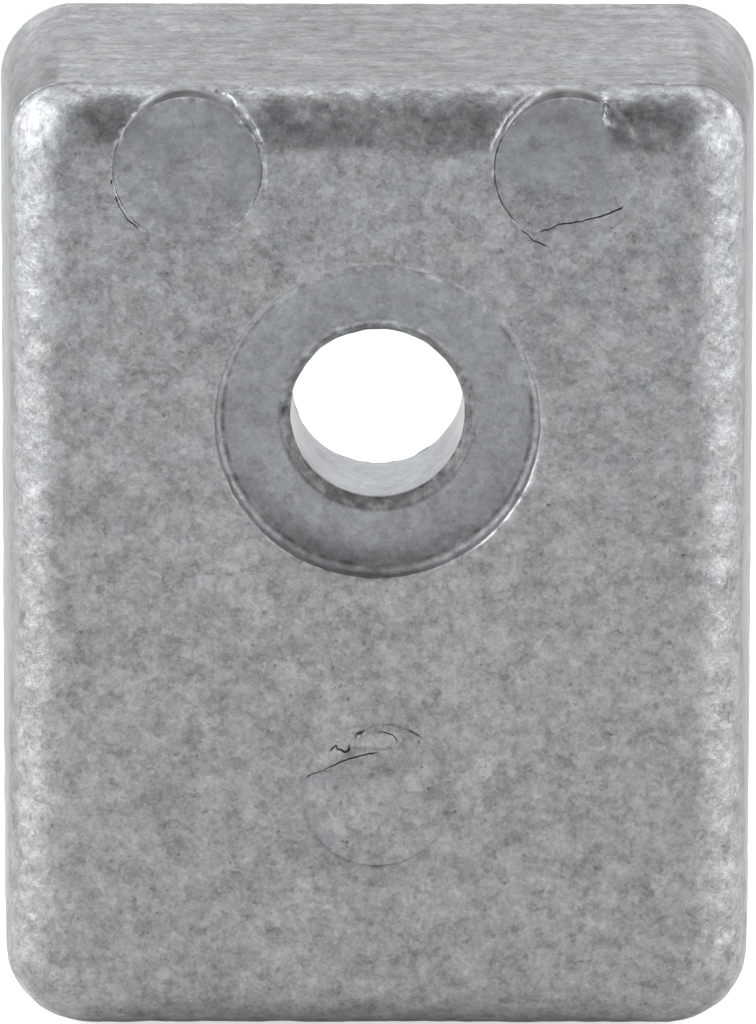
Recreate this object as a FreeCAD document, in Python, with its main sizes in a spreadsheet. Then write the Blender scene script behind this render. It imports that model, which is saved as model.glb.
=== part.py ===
import FreeCAD, Part
import os
import Sketcher

# Sacrificial anode block: one casting, bolted flat against the metal that it protects.
# Frame, in millimetres: the origin is where the bolt axis meets the mounting face.
# X runs across the block, Z up it towards the end with two ejector marks,
# and the exposed face looks along -Y.

NODE_NAME = "anode_block"
SAME_PLACE = 1e-3

doc = FreeCAD.newDocument("sacrificial_anode")

# Driving dimensions
driving_sizes = [
    # outline of the mounting face, the largest section of the casting
    ("block_width", 30.6),
    ("axis_to_top", 14.0),
    ("axis_to_bottom", 26.5),
    ("block_thickness", 13.0),
    # the side walls lean in towards the exposed face, so that the casting leaves its die
    ("draft_degrees", 3.0),
    # convex round all round the exposed face, and the small plan radius that it leaves there
    ("face_round", 2.5),
    ("face_corner", 0.7),
    # bolt bore, the washer seat in front of it and the recess behind it
    ("bore_diameter", 7.0),
    ("bore_chamfer", 0.4),
    ("seat_diameter", 13.0),
    ("seat_depth", 0.9),
    ("seat_corner_round", 0.45),
    ("bolt_land", 5.5),
    ("recess_diameter", 15.0),
    ("recess_corner_round", 1.0),
    # marks of the ejector pins: two near the top end, one on the centre line below the bore
    ("mark_diameter", 6.0),
    ("mark_depth", 0.1),
    ("mark_spacing", 15.2),
    ("mark_edge_margin", 0.05),
    ("lower_mark_drop", 15.6),
]

# Sizes that follow from the driving ones
derived_sizes = [
    # how far each wall has come in at the exposed face, and where the face round begins
    ("lean_at_face", "=block_thickness * tan(draft_degrees * 1 deg)"),
    ("lean_at_round", "=(block_thickness - face_round) * tan(draft_degrees * 1 deg)"),
    ("corner_round", "=face_round + face_corner"),
    ("recess_depth", "=block_thickness - seat_depth - bolt_land"),
    # the upper marks reach up to where the face round meets the top wall
    ("upper_mark_rise", "=axis_to_top - lean_at_round - mark_edge_margin - mark_diameter / 2"),
]

sheet = doc.addObject("Spreadsheet::Sheet", "sizes")
for row, (alias, content) in enumerate(driving_sizes + derived_sizes, start=1):
    sheet.set("A%d" % row, alias)
    sheet.set("B%d" % row, str(content))
    sheet.setAlias("B%d" % row, alias)
doc.recompute()

body = doc.addObject("PartDesign::Body", NODE_NAME)
body.Label = NODE_NAME


def sketch_in_front(name, distance):
    """A sketch parallel to the mounting face, so far in front of it, with its own Y along Z."""
    sketch = body.newObject("Sketcher::SketchObject", name)
    mounting_plane = [feature for feature in body.Origin.OriginFeatures if feature.Role == "XZ_Plane"][0]
    sketch.AttachmentSupport = [(mounting_plane, "")]
    sketch.MapMode = "FlatFace"
    sketch.setExpression("AttachmentOffset.Base.z", distance)
    return sketch


def bind(sketch, kind, references, formula):
    """A constraint of this kind whose value follows the size table."""
    index = sketch.addConstraint(Sketcher.Constraint(kind, *references, 1.0))
    sketch.setExpression("Constraints[%d]" % index, formula)


# Names for the sketch origin, its vertical axis and a circle's centre
ORIGIN = (-1, 1)
VERTICAL_AXIS = -2
CENTRE = 3


def add_circle(sketch, diameter, start_centre=(0.0, 0.0)):
    """A full circle with its diameter bound. Returns its index in the sketch."""
    centre = FreeCAD.Vector(start_centre[0], start_centre[1], 0)
    circle = sketch.addGeometry(Part.Circle(centre, FreeCAD.Vector(0, 0, 1), 1.0), False)
    bind(sketch, "Diameter", (circle,), diameter)
    return circle


def circle_on_axis(name, distance, diameter):
    """A sketch that holds one circle round the bolt axis."""
    sketch = sketch_in_front(name, distance)
    circle = add_circle(sketch, diameter)
    sketch.addConstraint(Sketcher.Constraint("Coincident", circle, CENTRE, *ORIGIN))
    return sketch


def add_upper_marks(sketch):
    """The pair of circles near the top end, level with each other on both sides of the axis."""
    right = add_circle(sketch, "sizes.mark_diameter", (7.0, 9.0))
    bind(sketch, "DistanceX", (*ORIGIN, right, CENTRE), "sizes.mark_spacing / 2")
    bind(sketch, "DistanceY", (*ORIGIN, right, CENTRE), "sizes.upper_mark_rise")
    left = add_circle(sketch, "sizes.mark_diameter", (-7.0, 9.0))
    bind(sketch, "DistanceX", (left, CENTRE, *ORIGIN), "sizes.mark_spacing / 2")
    bind(sketch, "DistanceY", (*ORIGIN, left, CENTRE), "sizes.upper_mark_rise")


def cut(name, sketch, depth, towards_front=False):
    """A pocket of this depth. It has to take material away."""
    volume_before = body.Shape.Volume
    pocket = body.newObject("PartDesign::Pocket", name)
    pocket.Profile = sketch
    pocket.Reversed = towards_front
    pocket.setExpression("Length", depth)
    doc.recompute()
    if not body.Shape.Volume < volume_before:
        raise RuntimeError(name + " cuts nothing")


def dress_edges(kind, name, wanted, size_property, size):
    """A fillet or chamfer on the edges of the body that pass the test."""
    base = body.Tip
    edges = ["Edge%d" % number for number, edge in enumerate(base.Shape.Edges, start=1) if wanted(edge)]
    if not edges:
        raise RuntimeError(name + " found no edge")
    feature = body.newObject(kind, name)
    feature.Base = (base, edges)
    feature.setExpression(size_property, size)
    doc.recompute()


def front_distance(edge):
    """How far the edge lies in front of the mounting face, or None if it isn't parallel to it."""
    box = edge.BoundBox
    if box.YLength > SAME_PLACE:
        return None
    return -box.Center.y


def at_front(edge, distance):
    level = front_distance(edge)
    return level is not None and abs(level - distance) < SAME_PLACE


def is_ring(edge, distance, diameter):
    """Whether the edge is a circle round the bolt axis at this distance and of this diameter."""
    return at_front(edge, distance) and abs(edge.BoundBox.XLength - diameter) < SAME_PLACE


# The block: full outline at the mounting face, all four walls leaning in towards the exposed face
block = body.newObject("PartDesign::AdditiveWedge", "block")
block_bounds = {
    "Ymax": "0 mm",
    "X2min": "-sizes.block_width / 2",
    "X2max": "sizes.block_width / 2",
    "Z2min": "-sizes.axis_to_bottom",
    "Z2max": "sizes.axis_to_top",
    "Ymin": "-sizes.block_thickness",
    "Xmin": "-sizes.block_width / 2 + sizes.lean_at_face",
    "Xmax": "sizes.block_width / 2 - sizes.lean_at_face",
    "Zmin": "-sizes.axis_to_bottom + sizes.lean_at_face",
    "Zmax": "sizes.axis_to_top - sizes.lean_at_face",
}
for bound, formula in block_bounds.items():
    block.setExpression(bound, formula)
doc.recompute()

# Rounded corners of the outline, then the round all round the exposed face
dress_edges(
    "PartDesign::Fillet",
    "corner_rounds",
    lambda edge: front_distance(edge) is None,
    "Radius",
    "sizes.corner_round",
)
dress_edges(
    "PartDesign::Fillet",
    "face_rounds",
    lambda edge: at_front(edge, sheet.block_thickness),
    "Radius",
    "sizes.face_round",
)

# Ejector marks: the flat pin ends stay level where the face round falls away from them,
# so each upper mark stands out of the round as part of a short cylinder
pin_end_outlines = sketch_in_front("pin_end_outlines", "sizes.block_thickness")
add_upper_marks(pin_end_outlines)
pin_ends = body.newObject("PartDesign::Pad", "pin_ends")
pin_ends.Profile = pin_end_outlines
pin_ends.Reversed = True
pin_ends.setExpression("Length", "sizes.face_round")
doc.recompute()

mark_outlines = sketch_in_front("mark_outlines", "sizes.block_thickness")
add_upper_marks(mark_outlines)
lower_mark = add_circle(mark_outlines, "sizes.mark_diameter", (0.0, -15.0))
mark_outlines.addConstraint(Sketcher.Constraint("PointOnObject", lower_mark, CENTRE, VERTICAL_AXIS))
bind(mark_outlines, "DistanceY", (lower_mark, CENTRE, *ORIGIN), "sizes.lower_mark_drop")
cut("ejector_marks", mark_outlines, "sizes.mark_depth")

# Washer seat, bolt bore and the wider recess behind it, all on the bolt axis
cut(
    "washer_seat",
    circle_on_axis("seat_outline", "sizes.block_thickness", "sizes.seat_diameter"),
    "sizes.seat_depth",
)
cut(
    "back_recess",
    circle_on_axis("recess_outline", "0 mm", "sizes.recess_diameter"),
    "sizes.recess_depth",
    towards_front=True,
)
cut(
    "bolt_bore",
    circle_on_axis("bore_outline", "sizes.block_thickness", "sizes.bore_diameter"),
    "sizes.block_thickness",
)

# Edges round the bolt axis: broken bore mouth, and cast radii in both inner corners
seat_level = sheet.block_thickness - sheet.seat_depth
dress_edges(
    "PartDesign::Chamfer",
    "bore_mouth",
    lambda edge: is_ring(edge, seat_level, sheet.bore_diameter),
    "Size",
    "sizes.bore_chamfer",
)
dress_edges(
    "PartDesign::Fillet",
    "seat_corner",
    lambda edge: is_ring(edge, seat_level, sheet.seat_diameter),
    "Radius",
    "sizes.seat_corner_round",
)
dress_edges(
    "PartDesign::Fillet",
    "recess_corner",
    lambda edge: is_ring(edge, sheet.recess_depth, sheet.recess_diameter),
    "Radius",
    "sizes.recess_corner_round",
)
doc.recompute()

# Nothing is written unless every feature worked and the casting is one sound solid
for item in doc.Objects:
    if "Invalid" in item.State or "Error" in item.State:
        raise RuntimeError(item.Name + " failed: " + ", ".join(item.State))
casting = body.Shape
if casting.isNull() or not casting.isValid() or len(casting.Solids) != 1:
    raise RuntimeError(NODE_NAME + " isn't one valid solid")

os.makedirs("parts", exist_ok=True)
casting.exportStep("parts/" + NODE_NAME + ".step")
extent = casting.BoundBox
print("size %.3f x %.3f x %.3f mm" % (extent.XLength, extent.YLength, extent.ZLength))
print("volume %.1f cubic mm, %d faces" % (casting.Volume, len(casting.Faces)))
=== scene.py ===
import math

import bpy
import numpy as np
from mathutils import Matrix, Vector
from mathutils.geometry import delaunay_2d_cdt
from mathutils.kdtree import KDTree


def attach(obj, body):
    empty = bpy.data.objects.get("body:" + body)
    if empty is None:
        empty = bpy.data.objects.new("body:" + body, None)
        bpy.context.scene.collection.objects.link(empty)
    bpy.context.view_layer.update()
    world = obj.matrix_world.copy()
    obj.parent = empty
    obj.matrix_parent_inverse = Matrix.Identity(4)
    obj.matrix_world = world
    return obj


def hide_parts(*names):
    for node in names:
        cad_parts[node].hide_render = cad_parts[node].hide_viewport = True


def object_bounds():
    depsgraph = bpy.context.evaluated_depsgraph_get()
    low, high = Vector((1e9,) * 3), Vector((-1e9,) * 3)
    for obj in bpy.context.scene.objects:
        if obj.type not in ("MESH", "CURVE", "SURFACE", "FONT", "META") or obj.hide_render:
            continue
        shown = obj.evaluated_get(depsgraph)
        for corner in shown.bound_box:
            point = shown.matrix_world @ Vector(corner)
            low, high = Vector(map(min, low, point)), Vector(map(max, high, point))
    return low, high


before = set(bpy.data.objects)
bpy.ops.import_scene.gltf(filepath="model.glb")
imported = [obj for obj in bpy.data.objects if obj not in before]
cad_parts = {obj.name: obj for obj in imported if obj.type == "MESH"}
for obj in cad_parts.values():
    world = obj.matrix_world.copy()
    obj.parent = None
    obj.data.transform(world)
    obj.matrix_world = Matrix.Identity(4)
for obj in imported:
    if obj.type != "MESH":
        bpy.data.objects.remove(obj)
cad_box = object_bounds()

MM = 0.001
TINY = 1e-9
TINY_AREA = 1e-12
WELD = 1e-7
scene = bpy.context.scene
scene.view_settings.view_transform = "Standard"

# The camera, worked out from the flattening of the round features in the photo
PHOTO_WIDTH = 756
PHOTO_HEIGHT = 1024
SENSOR_MM = 36.0
SIGHT_DISTANCE = 0.650
FAR_CLIP = 10.0
PITCH = math.radians(15.71)
YAW = math.radians(-0.10)
ROLL = math.radians(-0.095)
PIXELS_PER_MM = 25.0
SEAT_CENTRE_PX = (377.53, 422.06)

# Sizes of the casting in millimetres, the same as the solid's
HALF_WIDTH = cad_box[1][0] / MM
TOP = cad_box[1][2] / MM
BOTTOM = cad_box[0][2] / MM
THICKNESS = -cad_box[0][1] / MM
LEAN = math.radians(3.0)
FACE_ROUND = 2.5
FACE_CORNER = 0.7
BORE_RADIUS = 3.5
BORE_CHAMFER = 0.4
SEAT_RADIUS = 6.5
SEAT_DEPTH = 0.9
BOLT_LAND = 5.5
RECESS_RADIUS = 7.5
RECESS_CORNER = 1.0
MARK_RADIUS = 3.0
MARK_DEPTH = 0.1
UPPER_MARKS = ((-7.6, 10.4), (7.6, 10.4))
LOWER_MARK = (0.0, -15.6)

# The casting as it came out: a tighter corner in the seat, whose floor rises towards it
SEAT_CORNER = 0.3
SEAT_DISH = 0.14
SEAT_DISH_START = 4.9

# The lower mark is barely sunk, and the sharp edges at the back are broken
LOWER_DEPTH = 0.015
BACK_EDGE = 0.12

# Where the right upper mark's flat end passes into the round: a step at the top, a wide slope below
FADE_START = 8.93
FADE_WIDTH = 0.10
FADE_SPREAD = 1.6
FADE_TOP = 12.6
FADE_DROP = 0.7

# Uneven draft: tighter plan corners at the top of the face and at the back, a wider and raised foot
TOP_CORNER_CUT = 0.95
BACK_CORNER_CUT = 0.65
STRETCH_START = 0.90
FOOT_FLARE = 0.24
FLARE_START = -10.0
FLARE_LENGTH = 12.0
FOOT_RISE = 0.09

# Face, round and walls are laid out flat as one sheet, round a rectangle that joins the corners' centres
ROUND_ARC = FACE_ROUND * (math.pi / 2 - LEAN)
core_inset = (THICKNESS - FACE_ROUND) * math.tan(LEAN) + FACE_ROUND / math.cos(LEAN) + FACE_CORNER
corner_low = np.array([-HALF_WIDTH + core_inset, BOTTOM + core_inset])
corner_high = np.array([HALF_WIDTH - core_inset, TOP - core_inset])

# How many points and rows of them the skin has, and their spacing in millimetres
FACE_STEP = 0.155
GROOVE_STEP = 0.045
BACK_STEP = 0.55
SIDE_STATIONS = 200
TOP_STATIONS = 140
CORNER_STATIONS = 28
SEAT_STATIONS = 288
MARK_STATIONS = 192
ROUND_ROWS = 24
WALL_ROWS = 30
FULL_WALL_ROWS = 3
MARK_ROWS = 8
ARC_ROWS = 4
SEAT_FLOOR_ROWS = 16
BORE_ROWS = 18
RECESS_FLOOR_ROWS = 6
RECESS_WALL_ROWS = 10
PIT_SIDES = 7

# Least distance of filling points from others, and how far they stray, as shares of their spacing
ROUND_GAP = 0.62
FLAT_GAP = 0.6
FACE_JITTER = 0.3
BACK_JITTER = 0.25

# Width of the narrow bands at the upper marks and the seat's lip, and how far other points keep away
MARK_BAND = 0.06
LIP_WIDTH = 0.08
CLEARANCE = 0.04
BAND_CLEARANCE = 0.05
CREASE_CLEARANCE = 0.06
DISC_CLEARANCE = 0.2
RECESS_CLEARANCE = 0.4

# Rings down the bolt hole: depths on the seat's wall, steps of the bore's chamfer, its torn far rim
SEAT_WALL_DEPTHS = (0.12, 0.30)
CHAMFER_SHARES = (0.33, 0.67, 1.0)
LIP_RING_OUT = 0.02
LIP_RING_SINK = 0.5
RIM_START = 0.15
RIM_EDGE = 0.05
RIM_OUT = 0.06

# How smoothly a pin pressed its mark: half way up, the change towards its top, and its patches
PRESS_MIDDLE = 0.8
PRESS_RISE = 0.9
PRESS_CHANGE = 0.7
PRESS_PATCH_SIZE = 0.8
PRESS_LEVEL = 3.0

# Unevenness of torn edges: size of the noise in millimetres, and its share of the edge's height
LIP_RAGGED_SIZES = (0.35, 0.15)
LIP_FINE_SHARE = 0.6
LIP_HEIGHT = 0.8
LIP_RAGGED = 0.5
LIP_SWAY = 0.08
MARK_RAGGED_SIZE = 0.4
FLASH_RAGGED = 0.7
GLOOM_RAGGED = 0.4

# Unevenness of the bore's mouth in tone, and of its far rim in radius: share, size of the noise
MOUTH_UNEVEN = 0.5
MOUTH_SIZE = 0.25
RIM_UNEVEN = 0.012
RIM_SIZE = 0.6

# Edge of an upper mark, by row outwards: where the flash peaks, its painted highlight, the depth of the gap,
# and the painted shade in the gap that turns to painted light on the outer rows
FLASH_ROW = 1.5
FLASH_LIGHT = 4
GLOOM_DEPTH = 0.08
GLOOM_ROWS = ((0, 1, 4, 5.5, MARK_ROWS), (0.0, 1.0, 1.0, 0.0, -0.35))

# Crease round the lower mark: half width and depth in millimetres, its painted shade, and its unevenness
CREASE_REACH = 0.05
CREASE_DEPTH = 0.02
CREASE_SHADE = 0.35
CREASE_SIZE = 0.5
CREASE_MIDDLE = 0.8
CREASE_MOST = 1.5

# Cracks and flash: how they waver sideways, taper at the ends and vary in strength
WAVER_SIZE = 0.22
WAVER = 0.35
TAPER_LENGTH = 0.25
TAPER_LEAST = 0.15
TAPER_WIDTH = 0.6
UNEVEN_SIZE = 0.5
UNEVEN = 0.5
STRENGTH = 0.8
STRENGTH_LEAST = 0.35
PIT_DEPTH = 1.1

# Pressed and dull traits of the skin down the bolt hole, from 0 to 1
SEAT_WALL_SKIN = (0.3, 1.0)
SEAT_FLOOR_SKIN = (0.8, 0.0)
TORN_SKIN = (0.0, 1.0)
BORE_SKIN = (1.0, 0.0)
RECESS_FLOOR_SKIN = (0.6, 0.0)
RECESS_WALL_SKIN = (0.3, 0.0)
LIP_DULL = 0.3
MARK_EDGE_DULL = 0.7
GROOVE_DULL = 0.5

# Tone against the plain face: painted shade on the walls in front, none at the back, ground top wall and its
# ends, painted light on the bore
WALL_PAINTED_SHADE = 0.58
WALL_BACK_TONE = 1.0
GROUND_TONE = 0.79
GROUND_END_TONE = 0.23
BORE_PAINTED_LIGHT = 1.65

# Contrast of the dark band's flakes, and the painted contact shadow on the foot
BAND_CONTRAST = 0.4
FOOT_SHADE = 0.9

# How far these zones of tone reach past the edges that they end at, and which edges are shaded sharp
ZONE_MARGIN = 1.0
BORE_MARGIN = 0.05
SHARP_ANGLE = math.radians(50)

# Painted light and shade on the round along the top end, by how far it faces up
TOP_ROUND_PAINTED_LIGHT = ((0.0, 0.08, 0.2, 0.4, 0.6, 0.84, 0.94, 1.0), (1.0, 0.92, 0.88, 0.88, 1.0, 1.22, 1.05, 1.0))

# Which way skin faces where it starts and fully counts as ground, as a wall, as the dark band, as the foot
GROUND_FACING = (0.980, 0.996)
WALL_FACING = (-0.42, -0.08)
BAND_FACING = (0.05, 0.25)
FOOT_FACING = (0.80, 0.99)

# How far skin must face the front to take the dark band's flakes, the patches with their painted light and
# shade, rough and smooth patches
BAND_FRONT = -0.05
PATCH_FRONT = -0.2
ROUGH_FRONT = -0.1
SMOOTH_FRONT = -0.9

# Painted shade inside cracks and pits, painted highlights on raised flash and on the burr, painted shade
# round the bore's far rim
GROOVE_SHADE = 0.40
FULL_GROOVE = 0.08
FLASH_HIGHLIGHT = 1.05
BURR_LIGHT = 6.0
BORE_RIM_SHADE = 0.35

# Cracks and folds of the cast skin, after the photo: width, depth (negative for flash), points
GROOVES = (
    # left upper mark: the crack at its lower left, flash round its right with a spur, the tail at its foot
    (0.065, 0.10, ((-10.66, 10.60), (-10.62, 9.90), (-10.36, 9.03), (-9.98, 8.38), (-9.42, 7.90))),
    (0.14, -0.08, (
        (-6.35, 13.85), (-6.00, 13.67), (-5.34, 12.83), (-4.84, 12.03), (-4.52, 11.23), (-4.41, 10.40),
        (-4.46, 9.74), (-4.60, 9.31),
    )),
    (0.1, -0.06, ((-5.98, 13.80), (-5.60, 13.75), (-5.30, 13.55))),
    (0.05, 0.03, ((-5.92, 7.55), (-5.98, 7.30), (-5.92, 7.00))),
    # right upper mark: flash at its upper left, the torn lip at its right, and a spur of the flash
    (0.13, -0.07, ((6.25, 13.98), (5.55, 13.10), (4.99, 12.29), (4.60, 11.50), (4.44, 11.05))),
    (0.13, -0.10, ((9.12, 12.84), (9.10, 12.60), (9.06, 12.30))),
    (0.11, -0.05, ((4.45, 11.20), (4.20, 10.85), (3.90, 10.55))),
    # the crack across its lower part, the tail of the crack at its left, and the flash under it
    (0.065, 0.10, (
        (6.43, 7.87), (6.89, 8.03), (7.19, 8.19), (7.65, 8.23), (7.95, 8.27), (8.41, 8.39), (8.87, 8.51),
        (9.18, 8.63), (9.55, 8.78), (9.94, 8.98),
    )),
    (0.06, 0.08, ((5.63, 8.03), (5.98, 7.75), (6.20, 7.52), (6.59, 7.36), (6.85, 7.22))),
    (0.12, -0.07, ((6.20, 7.66), (6.78, 7.22), (7.35, 7.06), (7.96, 7.08), (8.57, 7.16), (8.95, 7.48))),
    # lower mark: the torn crack, the arc to its right in two parts, the flash between them, the crack below
    (0.085, 0.14, (
        (-2.00, -13.81), (-1.85, -13.74), (-1.64, -13.49), (-1.59, -13.68), (-1.44, -13.68),
        (-1.30, -13.81), (-1.13, -13.74), (-1.11, -13.54), (-1.05, -13.34),
    )),
    (0.22, 0.14, ((-0.98, -13.24), (-0.80, -13.10), (-0.60, -13.05), (-0.36, -12.95))),
    (0.05, 0.07, ((-0.05, -12.92), (0.38, -12.98), (0.66, -13.10), (0.80, -13.30), (0.78, -13.55))),
    (0.1, -0.05, ((-1.02, -13.66), (-0.50, -13.70), (0.10, -13.72), (0.50, -13.74), (0.74, -13.60))),
    (0.06, 0.08, (
        (-2.98, -14.94), (-2.62, -14.75), (-2.11, -14.56), (-1.44, -14.21), (-1.13, -14.08),
        (-0.31, -13.88), (0.10, -13.82),
    )),
    # creases round the top corners, where the face round meets the walls
    (0.2, 0.05, (
        (-11.18, 14.51), (-12.29, 14.46), (-13.36, 14.13), (-14.30, 13.53), (-15.06, 12.70),
        (-15.57, 11.71), (-15.81, 10.62),
    )),
    (0.2, 0.05, (
        (10.00, 14.53), (11.18, 14.51), (12.29, 14.46), (13.36, 14.13), (14.30, 13.53), (15.06, 12.70),
        (15.57, 11.71), (15.81, 10.62),
    )),
)

# Small pits of the face: across, up the face, radius
PITS = (
    (-3.47, -11.40, 0.07), (1.80, -14.45, 0.06), (2.08, -15.31, 0.07), (-1.45, -15.89, 0.07),
    (3.13, -16.27, 0.06), (1.68, -13.36, 0.09), (4.91, 7.16, 0.07), (9.33, 8.03, 0.06),
    (9.48, 7.84, 0.06), (-1.89, -8.34, 0.06), (-1.65, -9.09, 0.06), (-1.29, -9.72, 0.06),
    (-1.77, -10.27, 0.06), (-1.45, -10.94, 0.06), (-5.94, 4.68, 0.06),
)

# Round an upper mark, by angle in degrees from the right: how deep the gap above its disc is, and how dark
# with painted shade
LEFT_GAP = (
    (-180, 0.4), (-165, 0.5), (-150, 0.5), (-132, 0.5), (-118, 0.0), (-60, 0.0), (-45, 0.3), (-20, 0.1),
    (0, 0.0), (45, 0.0), (62, 0.2), (75, 0.6), (105, 0.65), (115, 0.5), (125, 0.2), (150, 0.3),
    (180, 0.4),
)
RIGHT_GAP = (
    (-180, 0.5), (-155, 0.6), (-135, 0.4), (-120, 0.0), (64, 0.0), (68, 0.6), (80, 0.7), (120, 0.6),
    (135, 0.5), (155, 0.4), (180, 0.5),
)

# The same way, in millimetres: how far the flash beside the mark stands up, which also sets its painted
# highlight
LEFT_FLASH = (
    (-180, 0.0), (-40, 0.0), (-20, 0.04), (0, 0.06), (30, 0.06), (55, 0.05), (75, 0.02), (180, 0.0),
)
RIGHT_FLASH = (
    (-180, 0.0), (54, 0.0), (58, 0.09), (62, 0.09), (65, 0.0), (95, 0.0), (110, 0.03), (125, 0.06),
    (160, 0.05), (175, 0.0), (180, 0.0),
)

# The same way: strength of the crease round the lower mark and its painted shade, and height of the burr on
# the seat's lip and its painted highlight
LOWER_CREASE = (
    (-180, 0.1), (-150, 0.3), (-125, 0.9), (-100, 1.0), (-60, 0.9), (-45, 0.7), (-30, 0.1), (52, 0.1),
    (57, 1.8), (66, 2.0), (80, 1.8), (86, 0.1), (180, 0.1),
)
SEAT_BURR = (
    (-180, 0.01), (-150, 0.04), (-125, 0.04), (-90, 0.03), (-69, 0.05), (-58, 0.05), (-48, 0.09),
    (-36, 0.11), (-25, 0.1), (-14, 0.07), (-8, 0.03), (40, 0.01), (90, 0.01), (180, 0.01),
)

# Painted light and shade on the seat's wall and on the bore's mouth, by angle: darker round the bottom,
# lighter round the top
SEAT_WALL_PAINTED_LIGHT = (
    (-180, 1.0), (-120, 0.85), (-90, 0.8), (-40, 0.85), (0, 1.05), (40, 1.3), (90, 1.4), (140, 1.25),
    (180, 1.0),
)
MOUTH_PAINTED_LIGHT = (
    (-180, 0.7), (-140, 0.55), (-90, 0.6), (-40, 0.55), (0, 0.7), (45, 1.0), (90, 1.3), (135, 1.0),
    (180, 0.7),
)

# Lighter and darker patches: most are uneven tone of the skin; those round the top corners are painted
# highlight and painted shade that shape the corners' highlights, and the narrow ones at the upper marks'
# edges are a painted highlight on flash and a painted shade line; across, up the face, half width, half
# height, change of tone
PATCHES = (
    (-8.00, 12.75, 1.0, 0.6, 0.12), (-8.90, 9.00, 0.9, 1.1, 0.07), (-10.60, 12.60, 1.0, 0.7, -0.26),
    (-12.00, 12.40, 0.9, 0.6, -0.16), (-3.70, 12.60, 0.8, 0.6, -0.28), (-1.90, 12.90, 0.7, 0.4, -0.12),
    (-0.60, 12.40, 0.8, 0.5, 0.10), (3.60, 12.70, 0.9, 0.7, -0.25), (2.20, 12.20, 0.5, 0.3, -0.14),
    (-5.90, 13.50, 0.6, 0.3, -0.20), (5.30, 11.90, 0.5, 1.0, 0.10), (6.30, 12.85, 0.9, 0.4, 0.12),
    (7.08, 12.50, 0.5, 0.4, -0.14), (7.92, 12.40, 0.5, 0.4, -0.12), (5.89, 11.26, 0.6, 0.4, -0.12),
    (10.30, 12.40, 1.0, 0.7, -0.26), (11.90, 12.50, 0.7, 0.7, -0.20), (9.60, 12.90, 0.5, 0.3, 0.10),
    (-1.00, -13.60, 0.9, 0.5, 0.08), (0.40, -13.30, 0.8, 0.4, 0.10), (4.10, -14.40, 0.8, 1.0, 0.10),
    (3.40, -15.80, 0.5, 0.6, 0.07), (-4.47, 10.25, 0.08, 0.90, 0.45), (9.22, 12.42, 0.22, 0.20, -0.60),
    (9.02, 12.80, 0.07, 0.36, 2.0), (-13.60, 11.70, 0.9, 0.9, 0.10), (-12.30, 13.10, 0.9, 0.6, 0.42),
    (-13.80, 9.80, 0.9, 1.2, 0.10), (13.75, 11.80, 0.9, 1.1, 0.02), (12.60, 13.10, 0.7, 0.5, 0.35),
    (13.80, 9.40, 0.5, 0.6, -0.12), (-7.30, 7.40, 1.2, 0.22, -0.14), (-13.20, -24.80, 1.8, 1.8, 0.14),
    (13.20, -24.80, 1.8, 1.8, 0.10), (5.60, 12.20, 0.5, 0.5, 0.10), (6.90, 12.70, 1.0, 0.35, -0.12),
    (-3.00, -5.30, 1.6, 0.8, -0.13), (-0.60, -5.90, 2.0, 0.5, -0.13), (-5.00, -3.40, 0.6, 1.2, -0.08),
    (-10.80, 11.90, 0.5, 0.4, -0.12), (-3.20, 12.00, 0.5, 0.5, -0.10), (1.20, 12.60, 0.6, 0.4, -0.10),
    (9.60, 11.60, 0.7, 0.4, -0.12),
)

# Rough skin that spreads the light at the top corners: across, up the face, half width, half height
ROUGHEST = 0.7
ROUGH_PATCHES = ((-13.60, 11.60, 1.6, 2.4), (13.60, 11.60, 1.5, 2.4))

# Skin left smooth by the lower pin: across, up the face, half width, half height
SMOOTHEST = 0.6
SMOOTH_PATCHES = (
    (-2.20, -14.92, 0.70, 0.25), (-1.30, -14.55, 0.80, 0.30), (-0.40, -14.22, 0.80, 0.30),
    (0.60, -14.15, 0.80, 0.28), (1.40, -14.05, 0.60, 0.25), (-2.80, -15.60, 0.28, 0.80),
    (-2.62, -16.60, 0.32, 0.60), (-2.05, -17.45, 0.50, 0.35), (2.45, -15.00, 0.35, 0.80),
    (2.70, -16.00, 0.30, 0.60),
)

# Soft edges of the patches: their value at the middle and its fall over one half width
TONE_PATCH_MIDDLE = 1.3
TONE_PATCH_RAGGED = 0.5
TONE_PATCH_SIZE = 0.5
PATCH_MIDDLE = 2.2
PATCH_FALL = 1.8

# Relief of the cast skin in millimetres: size, shift of the noise, height
RELIEF = ((1.3, 0, 0.022), (0.6, 40, 0.017), (0.3, 80, 0.010))
SCARS = ((0.45, 0, 1.0), (0.22, 20, 0.7))
SCAR_HEIGHT = 0.02
PRESSED_CALM = 0.75

# Flaky tone of the dark band under the top edge: size, shift of the noise, strength
BAND_FLAKES = ((0.35, 0, 0.6), (0.2, 10, 0.5))


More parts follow.
